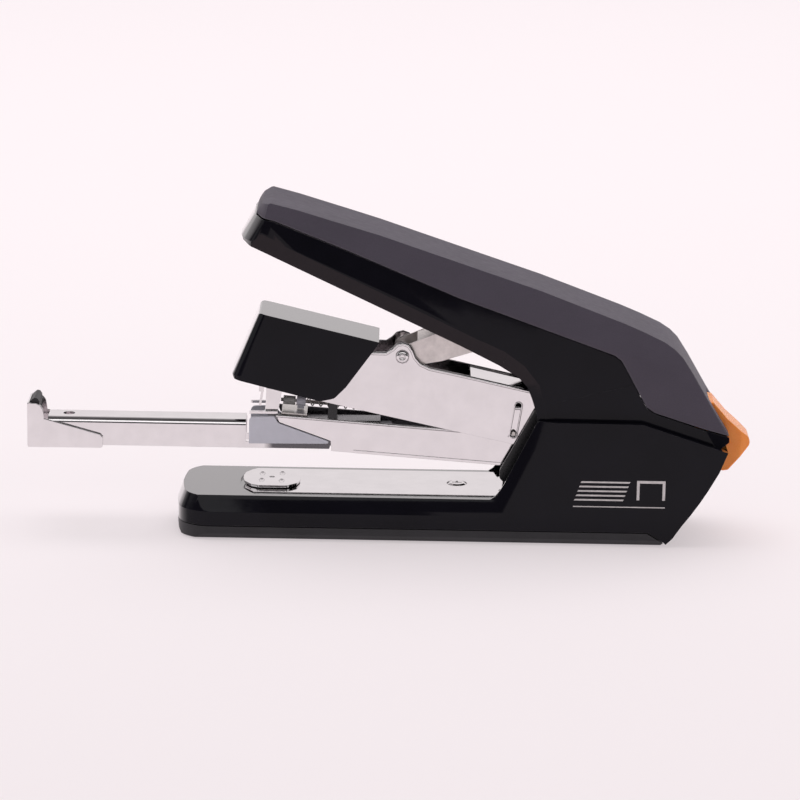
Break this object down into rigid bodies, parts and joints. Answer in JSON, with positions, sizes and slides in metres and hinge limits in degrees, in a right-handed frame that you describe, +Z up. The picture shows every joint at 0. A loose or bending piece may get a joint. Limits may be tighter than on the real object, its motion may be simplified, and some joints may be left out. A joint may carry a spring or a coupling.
{
  "type": "front-loading desktop stapler",
  "caption": "Lever-assisted desktop stapler with a pull-out staple drawer, rotating anvil, pressing handle, driver arm and rear release button.",
  "frame": {"origin": "centre of the base's length and width, on the underside of the anti-slip pad", "axes": "+Z up, X along the stapler with the staple drawer and nose towards -X and the release button towards +X, Y across it"},
  "size_m": [0.2379, 0.04, 0.1116],
  "materials": {
    "gloss_black": "polished gloss black ABS",
    "matte_black": "fine matte texture, dark grey-black",
    "band_black": "satin black plastic",
    "rubber": "soft matte rubber",
    "chrome": "bright plated sheet steel",
    "steel": "plain pressed or drawn steel",
    "black_steel": "black coated steel",
    "grey_plastic": "light grey moulded plastic",
    "clear_plastic": "milky translucent plastic",
    "orange": "satin orange plastic, slightly translucent",
    "grip": "dark grey ribbed plastic"
  },
  "bodies": {
    "root": {"base_shell": "gloss_black", "bottom_cover": "band_black", "antislip_pad": "rubber", "base_steel_plate": "steel", "bottom_screw_front": "steel", "bottom_screw_rear": "steel", "bed_plate": "chrome", "bed_screw": "chrome", "pivot_bracket": "black_steel", "bracket_rivet_fl": "steel", "bracket_rivet_fr": "steel", "bracket_rivet_rl": "steel", "bracket_rivet_rr": "steel", "arm_pin": "steel", "handle_pin": "steel", "handle_spring": "steel", "button_spring": "steel"},
    "anvil": {"anvil_plate": "chrome", "anvil_clip": "steel"},
    "magazine": {"magazine_channel": "chrome", "nose_guide_near": "grey_plastic", "nose_guide_far": "grey_plastic", "nose_bridge": "chrome", "limit_pin": "steel", "spring_arch": "black_steel", "spring_rod": "steel", "rod_stop": "steel", "pusher_spring": "steel", "latch_pin": "steel"},
    "latch": {"drawer_latch": "steel"},
    "pusher": {"staple_pusher": "steel", "pusher_sleeve": "clear_plastic", "pusher_knob": "grey_plastic"},
    "carriage": {"drawer_carriage": "grey_plastic"},
    "drawer": {"drawer_rail": "chrome", "drawer_cap": "chrome", "drawer_grip": "grip"},
    "arm": {"arm_frame": "chrome", "head_cover": "gloss_black", "driver_blade": "chrome", "driver_clamp": "black_steel", "link_rivet": "steel"},
    "link": {"power_link": "steel"},
    "handle": {"handle_cover": "matte_black", "handle_shell": "gloss_black", "link_pin": "steel", "link_pin_saddle": "band_black"},
    "button": {"release_button": "orange", "release_rod": "steel"}
  },
  "joints": [
    {"name": "handle_press", "type": "hinge", "parent": "root", "child": "handle", "pos_m": [0.088, 0, 0.031], "axis": [0, -1, 0], "range_deg": [0, 18], "stiffness_Nm_per_rad": 0.8, "springref_deg": -17.19},
    {"name": "arm_tilt", "type": "hinge", "parent": "root", "child": "arm", "pos_m": [0.078, 0, 0.0315], "axis": [0, -1, 0], "range_deg": [0, 9.8]},
    {"name": "magazine_tilt", "type": "hinge", "parent": "root", "child": "magazine", "pos_m": [0.078, 0, 0.0315], "axis": [0, -1, 0], "range_deg": [0, 4.8]},
    {"name": "link_tilt", "type": "hinge", "parent": "arm", "child": "link", "pos_m": [-0.0063, 0, 0.0602], "axis": [0, -1, 0], "range_deg": [-16.4, 0]},
    {"name": "drawer_slide", "type": "slide", "parent": "magazine", "child": "carriage", "axis": [0.9976, 0, -0.0698], "range_m": [0, 0.0705]},
    {"name": "drawer_droop", "type": "hinge", "parent": "carriage", "child": "drawer", "pos_m": [-0.015, 0, 0.03375], "axis": [0, 1, 0], "range_deg": [0, 4.05]},
    {"name": "pusher_slide", "type": "slide", "parent": "magazine", "child": "pusher", "axis": [0.9976, 0, -0.0698], "range_m": [0, 0.058], "stiffness_N_per_m": 12, "springref_m": -0.05, "deforming": ["pusher_spring"]},
    {"name": "button_press", "type": "slide", "parent": "root", "child": "button", "axis": [-1, 0, 0], "range_m": [0, 0.0025], "stiffness_N_per_m": 400, "springref_m": -0.002, "deforming": ["button_spring"]},
    {"name": "latch_turn", "type": "hinge", "parent": "magazine", "child": "latch", "pos_m": [0.0676, 0, 0.03], "axis": [0, 1, 0], "range_deg": [0, 25.1]},
    {"name": "anvil_turn", "type": "hinge", "parent": "root", "child": "anvil", "pos_m": [-0.0488, 0, 0.0155], "axis": [0, 0, 1], "range_deg": [0, 180]}
  ],
  "couplings": [
    {"joint": "arm_tilt", "follows": "handle_press", "ratio": 0.54},
    {"joint": "magazine_tilt", "follows": "handle_press", "ratio": 0.26},
    {"joint": "link_tilt", "follows": "handle_press", "ratio": -0.9056},
    {"joint": "drawer_droop", "follows": "drawer_slide", "rad_per_m": 0.99026},
    {"joint": "latch_turn", "follows": "button_press", "rad_per_m": 174.53}
  ]
}
